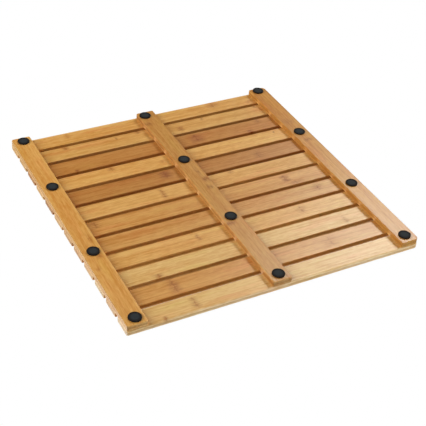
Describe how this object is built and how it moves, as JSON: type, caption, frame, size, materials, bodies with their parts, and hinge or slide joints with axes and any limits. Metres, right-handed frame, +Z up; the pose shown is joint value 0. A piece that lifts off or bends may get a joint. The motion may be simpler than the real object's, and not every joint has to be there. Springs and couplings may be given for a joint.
{
  "type": "slatted bath mat",
  "caption": "Square rigid bath mat of bamboo slats glued across battens, with drain slots between the slats and round rubber pads underneath.",
  "frame": {"origin": "on the floor under the middle of the mat, at the level of the rubber pads' undersides", "axes": "+Z up out of the walking surface, X along the slats, Y along the battens; -Y is called the front"},
  "size_m": [0.5, 0.5, 0.02],
  "materials": {
    "bamboo_slats": "satin lacquer",
    "bamboo_battens": "satin lacquer",
    "rubber_pads": "matte",
    "steel_pins": "plain"
  },
  "bodies": {
    "root": {"slat_01": "bamboo_slats", "slat_02": "bamboo_slats", "slat_03": "bamboo_slats", "slat_04": "bamboo_slats", "slat_05": "bamboo_slats", "slat_06": "bamboo_slats", "slat_07": "bamboo_slats", "slat_08": "bamboo_slats", "slat_09": "bamboo_slats", "slat_10": "bamboo_slats", "slat_11": "bamboo_slats", "slat_12": "bamboo_slats", "batten_left": "bamboo_battens", "batten_middle": "bamboo_battens", "batten_right": "bamboo_battens", "foot_left_front": "rubber_pads", "foot_left_inner_front": "rubber_pads", "foot_left_inner_rear": "rubber_pads", "foot_left_rear": "rubber_pads", "foot_middle_front": "rubber_pads", "foot_middle_inner_front": "rubber_pads", "foot_middle_inner_rear": "rubber_pads", "foot_middle_rear": "rubber_pads", "foot_right_front": "rubber_pads", "foot_right_inner_front": "rubber_pads", "foot_right_inner_rear": "rubber_pads", "foot_right_rear": "rubber_pads", "pin_left_01": "steel_pins", "pin_left_02": "steel_pins", "pin_left_03": "steel_pins", "pin_left_04": "steel_pins", "pin_left_05": "steel_pins", "pin_left_06": "steel_pins", "pin_left_07": "steel_pins", "pin_left_08": "steel_pins", "pin_left_09": "steel_pins", "pin_left_10": "steel_pins", "pin_left_11": "steel_pins", "pin_left_12": "steel_pins", "pin_right_01": "steel_pins", "pin_right_02": "steel_pins", "pin_right_03": "steel_pins", "pin_right_04": "steel_pins", "pin_right_05": "steel_pins", "pin_right_06": "steel_pins", "pin_right_07": "steel_pins", "pin_right_08": "steel_pins", "pin_right_09": "steel_pins", "pin_right_10": "steel_pins", "pin_right_11": "steel_pins", "pin_right_12": "steel_pins"}
  },
  "joints": []
}
